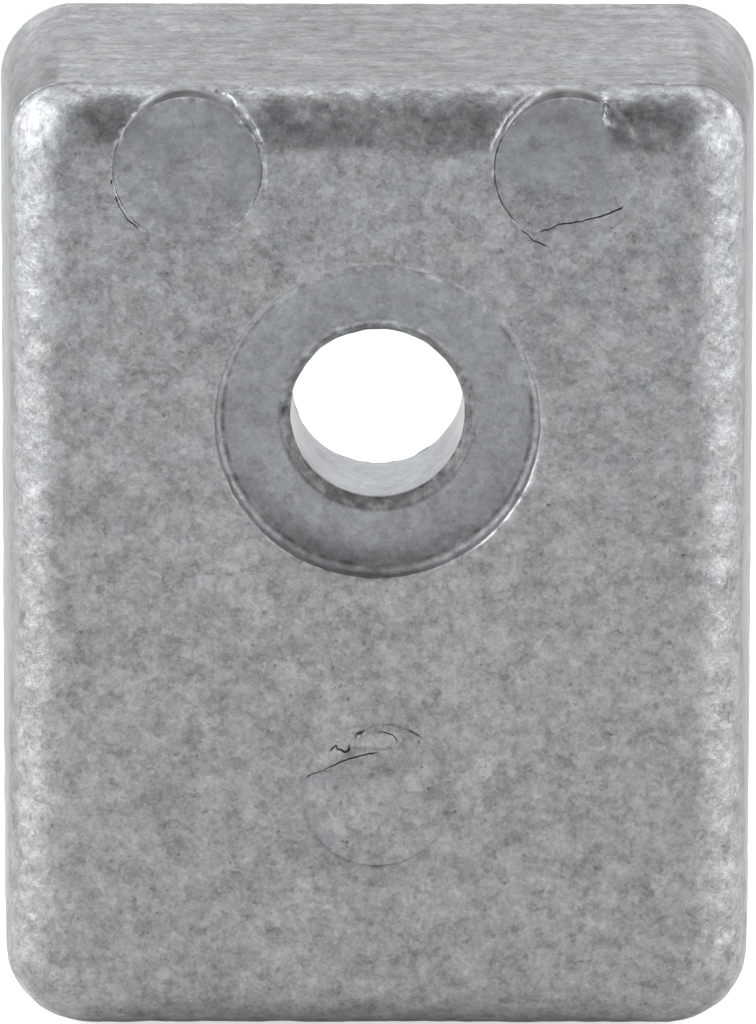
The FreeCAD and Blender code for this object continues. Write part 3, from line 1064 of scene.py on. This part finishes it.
def make_block():
    """The whole casting as one closed mesh, with its traits as attributes."""
    mesh = Mesh()
    lip, outer = make_face(mesh)
    recess = make_hole(mesh, lip)
    rim = make_walls(mesh, outer)
    make_back(mesh, rim, recess)
    places = np.vstack(mesh.places)
    pressed, listed_tone_and_painted_light, dull = np.vstack(mesh.traits).T
    outward = outward_directions(places, mesh.faces)
    ground = ground_share(places, outward)
    tone = tone_with_painted_light(places, outward, ground) * listed_tone_and_painted_light
    pressed = with_patches(pressed, SMOOTH_PATCHES, SMOOTHEST, places, outward[:, 1] < SMOOTH_FRONT)
    rough_skin = with_patches(dull, ROUGH_PATCHES, ROUGHEST, places, outward[:, 1] < ROUGH_FRONT)
    places = places + outward * cast_relief(places, pressed, dull)[:, None]
    places = np.clip(places, np.array(cad_box[0]) / MM, np.array(cad_box[1]) / MM)

    data = bpy.data.meshes.new("anode_casting")
    data.from_pydata((places * MM).tolist(), [], [tuple(int(i) for i in face) for face in mesh.faces])
    data.validate()
    data.update()
    data.shade_smooth()
    data.set_sharp_from_angle(angle=SHARP_ANGLE)
    for name, values in (("pressed", pressed), ("ground", ground), ("tone", tone), ("dull", rough_skin)):
        layer = data.attributes.new(name, "FLOAT", "POINT")
        layer.data.foreach_set("value", values)
    piece = bpy.data.objects.new("anode_casting", data)
    scene.collection.objects.link(piece)
    return piece


# The metal's linear colour at the foot, at the top, and where pins pressed it
FOOT_COLOUR = (0.288, 0.288, 0.288)
TOP_COLOUR = (0.277, 0.289, 0.298)
PRESSED_COLOUR = (0.271, 0.285, 0.296)
COLOUR_TOP = TOP + 4
HUE_CHANGE = 2.2

# Strength of the metal's mottling on the plain skin, where pins pressed it, of streaks and of clouds
FLAKE_CONTRAST = 1.8
PRESSED_CONTRAST = 1.1
PRESSED_TONE = 0.86
STREAK_CONTRAST = 1.2
CLOUD_CONTRAST = 0.12

# Layers of noise in the metal: size of the largest lumps in millimetres, detail, roughness
FLAKES = (0.9, 5.0, 0.92)
CLOUDS = (4.0, 1.0, 0.6)
STREAKS = (0.5, 4.0, 0.8)
STREAK_STRETCH = (0.07, 1.0, 1.0)
HUES = (1.1, 3.0, 0.7)
SHINE = (0.7, 3.0, 0.7)
GRAIN = (0.5, 4.0, 0.6)
CRUMPLES = (1 / 3, 2.0, 0.5)
CRUMPLE_SHIFT = 0.8

# Crystals of random tone: size in millimetres, strength
CRYSTALS = ((0.90, 0.08), (0.45, 0.11), (0.20, 0.13))
# Specks: size, range of the noise, strength
SPECKS = ((0.30, 0.70, 0.80, -0.18), (0.20, 0.66, 0.80, 0.14))
SPECK_DETAIL = (1.0, 0.5)
# Thin wrinkles: size, range of the ridges, strength
WRINKLES = ((0.8, 1.1, 1.7, 0.10), (0.5, 1.1, 1.7, -0.10))
WRINKLE_DETAIL = (2.0, 0.6)

# Roughness of the plain skin from and to, of pressed and of dull skin, and the fine relief in metres
PLAIN_ROUGHNESS = (0.28, 0.54)
PRESSED_ROUGHNESS = 0.33
DULL_ROUGHNESS = 0.62
GRAIN_HEIGHT = 0.000045
PRESSED_GRAIN = 0.35

# Light of the room behind the block and in front of it, and where one passes into the other
BACK_LIGHT = 1.1
FRONT_LIGHT = 0.38
BEHIND_RANGE = (0.1, 0.6)

# Softboxes that face a point near the block: place, size in metres, power in watts
SOFTBOX_AIM = (0, -0.006, -0.006)
SOFTBOXES = (
    ("softbox_left", (-0.55, -0.08, 0.22), (0.80, 0.70), 10.0),
    ("softbox_right", (0.55, -0.08, 0.13), (0.80, 0.50), 6.6),
    ("softbox_above", (0.0, 0.34, 0.44), (0.90, 0.25), 1.1),
)

# The floor, and its light near the block against the block's shadow: strength, range along y, reach
FLOOR_SIZE = 6.0
FLOOR_COLOUR = (0.56, 0.56, 0.56, 1)
FLOOR_ROUGHNESS = 0.9
FLOOR_GLOW = 0.12
FLOOR_LIGHTS = ((0.5, (-0.0110, -0.0095), (0.040, 0.022)), (0.1, (-0.0125, -0.0145), (0.09, 0.02)))
WHITE = (1, 1, 1, 1)


def add_node(tree, kind, **settings):
    """A shader node with its properties set."""
    made = tree.nodes.new("ShaderNode" + kind)
    for name, value in settings.items():
        setattr(made, name, value)
    return made


def feed(tree, socket, value):
    """Sets a node's input to a number, or links it to another node's output."""
    if isinstance(value, bpy.types.NodeSocket):
        tree.links.new(value, socket)
    else:
        socket.default_value = value


def math_node(tree, operation, *values):
    """Result of a maths node on these numbers or outputs."""
    made = add_node(tree, "Math", operation=operation)
    for socket, value in enumerate(values):
        feed(tree, made.inputs[socket], value)
    return made.outputs[0]


def vector_node(tree, operation, output, **values):
    """Output of a vector maths node. A value's name says which input it goes to: a, b or scale."""
    made = add_node(tree, "VectorMath", operation=operation)
    for name, value in values.items():
        feed(tree, made.inputs[{"a": 0, "b": 1, "scale": 3}[name]], value)
    return made.outputs[output]


def split_up(tree, vector):
    """The three coordinates of a vector."""
    made = add_node(tree, "SeparateXYZ")
    tree.links.new(vector, made.inputs[0])
    return made.outputs


def smooth_step(tree, value, low, high):
    """0 below low, 1 above high, smooth in between; falls instead when low is the larger."""
    made = add_node(tree, "MapRange", interpolation_type="SMOOTHSTEP")
    tree.links.new(value, made.inputs["Value"])
    made.inputs["From Min"].default_value = min(low, high)
    made.inputs["From Max"].default_value = max(low, high)
    made.inputs["To Min"].default_value = 0.0 if low < high else 1.0
    made.inputs["To Max"].default_value = 1.0 if low < high else 0.0
    return made.outputs["Result"]


def spread(tree, value, contrast, middle=1.0):
    """Spreads a value from 0 to 1 evenly over this contrast about the middle, without limits."""
    return math_node(tree, "MULTIPLY_ADD", value, contrast, middle - contrast / 2)


def blend(tree, share, first, second):
    """Goes from the first value to the second as the share goes from 0 to 1."""
    made = add_node(tree, "Mix", data_type="FLOAT", clamp_factor=True)
    for name, value in (("Factor", share), ("A", first), ("B", second)):
        feed(tree, made.inputs[name], value)
    return made.outputs["Result"]


def blend_colour(tree, share, first, second, clamped=True):
    """The same for colours. When it isn't clamped, the share may go past the two colours."""
    made = add_node(tree, "Mix", data_type="RGBA", clamp_factor=clamped)
    for name, value in (("Factor", share), ("A", first), ("B", second)):
        feed(tree, made.inputs[name], value)
    return made.outputs["Result"]


def layered(tree, vector, size, detail, roughness, kind="FBM", output="Fac"):
    """Layered noise whose largest lumps have this size."""
    made = add_node(tree, "TexNoise", noise_type=kind)
    values = {"Vector": vector, "Scale": 1 / size, "Detail": detail, "Roughness": roughness}
    for name, value in values.items():
        feed(tree, made.inputs[name], value)
    return made.outputs[output]


def crystal_tone(tree, vector, size):
    """A random value from 0 to 1 for each cell of this size."""
    cells = add_node(tree, "TexVoronoi")
    feed(tree, cells.inputs["Vector"], vector)
    feed(tree, cells.inputs["Scale"], 1 / size)
    channels = add_node(tree, "SeparateColor")
    tree.links.new(cells.outputs["Color"], channels.inputs["Color"])
    return channels.outputs["Red"]


def add_world():
    """Pale studio room: dim in front and overhead, bright behind the block."""
    world = bpy.data.worlds.new("studio")
    world.use_nodes = True
    scene.world = world
    tree = world.node_tree
    background = tree.nodes["Background"]
    direction = add_node(tree, "TexCoord").outputs["Generated"]
    behind = smooth_step(tree, split_up(tree, direction)[1], *BEHIND_RANGE)
    extra = math_node(tree, "MULTIPLY", behind, BACK_LIGHT - FRONT_LIGHT)
    feed(tree, background.inputs["Strength"], math_node(tree, "ADD", extra, FRONT_LIGHT))
    feed(tree, background.inputs["Color"], WHITE)


def add_softbox(name, place, size, power):
    """A rectangular area light that faces the block."""
    data = bpy.data.lights.new(name, "AREA")
    data.shape = "RECTANGLE"
    data.size = size[0]
    data.size_y = size[1]
    data.energy = power
    lamp = bpy.data.objects.new(name, data)
    lamp.location = place
    lamp.rotation_mode = "QUATERNION"
    lamp.rotation_quaternion = (Vector(SOFTBOX_AIM) - Vector(place)).to_track_quat("-Z", "Y")
    scene.collection.objects.link(lamp)


def add_floor():
    """Plain pale floor under the block, which glows a little so that it stays white."""
    bpy.ops.mesh.primitive_plane_add(size=FLOOR_SIZE, location=(0, 0, cad_box[0][2]))
    floor = bpy.context.object
    floor.name = "floor"
    paper = bpy.data.materials.new("floor")
    paper.use_nodes = True
    tree = paper.node_tree
    shader = tree.nodes["Principled BSDF"]
    place = add_node(tree, "TexCoord").outputs["Object"]
    towards_back = split_up(tree, place)[1]
    distance = vector_node(tree, "LENGTH", "Value", a=place)
    glow = FLOOR_GLOW
    for strength, y_range, distance_range in FLOOR_LIGHTS:
        share = smooth_step(tree, towards_back, *y_range)
        close = smooth_step(tree, distance, *distance_range)
        glow = math_node(tree, "MULTIPLY_ADD", math_node(tree, "MULTIPLY", share, close), strength, glow)
    feed(tree, shader.inputs["Base Color"], FLOOR_COLOUR)
    feed(tree, shader.inputs["Roughness"], FLOOR_ROUGHNESS)
    feed(tree, shader.inputs["Emission Color"], WHITE)
    feed(tree, shader.inputs["Emission Strength"], glow)
    floor.data.materials.append(paper)


def flaky_tone(tree, at_mm):
    """Mottling of nearly equal strength at every size: lumps, crystals, specks and thin wrinkles."""
    flakes = layered(tree, at_mm, *FLAKES)
    crumples = layered(tree, at_mm, *CRUMPLES, output="Color")
    shift = vector_node(tree, "SCALE", "Vector", a=crumples, scale=CRUMPLE_SHIFT)
    crumpled = vector_node(tree, "ADD", "Vector", a=at_mm, b=shift)
    for size, strength in CRYSTALS:
        crystals = spread(tree, crystal_tone(tree, crumpled, size), strength, 0.0)
        flakes = math_node(tree, "ADD", flakes, crystals)
    for size, low, high, strength in SPECKS:
        specks = smooth_step(tree, layered(tree, at_mm, size, *SPECK_DETAIL), low, high)
        flakes = math_node(tree, "MULTIPLY_ADD", specks, strength, flakes)
    for size, low, high, strength in WRINKLES:
        ridges = layered(tree, crumpled, size, *WRINKLE_DETAIL, kind="RIDGED_MULTIFRACTAL")
        wrinkles = smooth_step(tree, ridges, low, high)
        flakes = math_node(tree, "MULTIPLY_ADD", wrinkles, strength, flakes)
    return flakes


def metal_colour(tree, at_mm, pressed):
    """The metal's hue: neutral at the foot, bluer towards the top and where pins pressed it."""
    height = smooth_step(tree, split_up(tree, at_mm)[2], BOTTOM, COLOUR_TOP)
    hue = math_node(tree, "ADD", height, spread(tree, layered(tree, at_mm, *HUES), HUE_CHANGE, 0.0))
    plain = blend_colour(tree, hue, (*FOOT_COLOUR, 1), (*TOP_COLOUR, 1), clamped=False)
    return blend_colour(tree, pressed, plain, (*PRESSED_COLOUR, 1))


def cast_metal():
    """Grey as-cast metal: flaky mottling, smoother where pins pressed it, drawn streaks where ground."""
    metal = bpy.data.materials.new("cast_metal")
    metal.use_nodes = True
    tree = metal.node_tree
    shader = tree.nodes["Principled BSDF"]
    shader.inputs["Metallic"].default_value = 1.0
    place = add_node(tree, "TexCoord").outputs["Object"]
    at_mm = vector_node(tree, "MULTIPLY", "Vector", a=place, b=(1 / MM,) * 3)
    pressed, ground, tone, dull = (
        add_node(tree, "Attribute", attribute_name=name).outputs["Fac"]
        for name in ("pressed", "ground", "tone", "dull")
    )

    # tone: mottling, calmer where pressed, with streaks where ground, faint clouds over all, and the tone
    # attribute with its painted light and shade
    flakes = flaky_tone(tree, at_mm)
    streaks = layered(tree, vector_node(tree, "MULTIPLY", "Vector", a=at_mm, b=STREAK_STRETCH), *STREAKS)
    calm = math_node(tree, "MULTIPLY", spread(tree, flakes, PRESSED_CONTRAST), PRESSED_TONE)
    mottling = blend(tree, pressed, spread(tree, flakes, FLAKE_CONTRAST), calm)
    drawn = math_node(tree, "MULTIPLY", spread(tree, streaks, STREAK_CONTRAST), mottling)
    mottling = blend(tree, ground, mottling, drawn)
    clouding = spread(tree, layered(tree, at_mm, *CLOUDS), CLOUD_CONTRAST)
    level = math_node(tree, "MULTIPLY", math_node(tree, "MULTIPLY", mottling, clouding), tone)
    colour = metal_colour(tree, at_mm, pressed)
    feed(tree, shader.inputs["Base Color"], vector_node(tree, "SCALE", "Vector", a=colour, scale=level))

    # roughness: patchy on the plain skin
    least, most = PLAIN_ROUGHNESS
    roughness = spread(tree, layered(tree, at_mm, *SHINE), most - least, (least + most) / 2)
    roughness = blend(tree, pressed, roughness, PRESSED_ROUGHNESS)
    feed(tree, shader.inputs["Roughness"], blend(tree, dull, roughness, DULL_ROUGHNESS))

    # fine relief below the mesh's own grain
    height = blend(tree, ground, layered(tree, at_mm, *GRAIN), streaks)
    strength = math_node(tree, "MULTIPLY_ADD", pressed, PRESSED_GRAIN - 1.0, 1.0)
    bump = add_node(tree, "Bump")
    feed(tree, bump.inputs["Strength"], 1.0)
    feed(tree, bump.inputs["Distance"], GRAIN_HEIGHT)
    feed(tree, bump.inputs["Height"], math_node(tree, "MULTIPLY", height, strength))
    feed(tree, shader.inputs["Normal"], bump.outputs["Normal"])
    return metal


add_camera()
add_world()
for softbox in SOFTBOXES:
    add_softbox(*softbox)
add_floor()

block = make_block()
block.data.materials.append(cast_metal())
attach(block, "root")
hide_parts("anode_block")
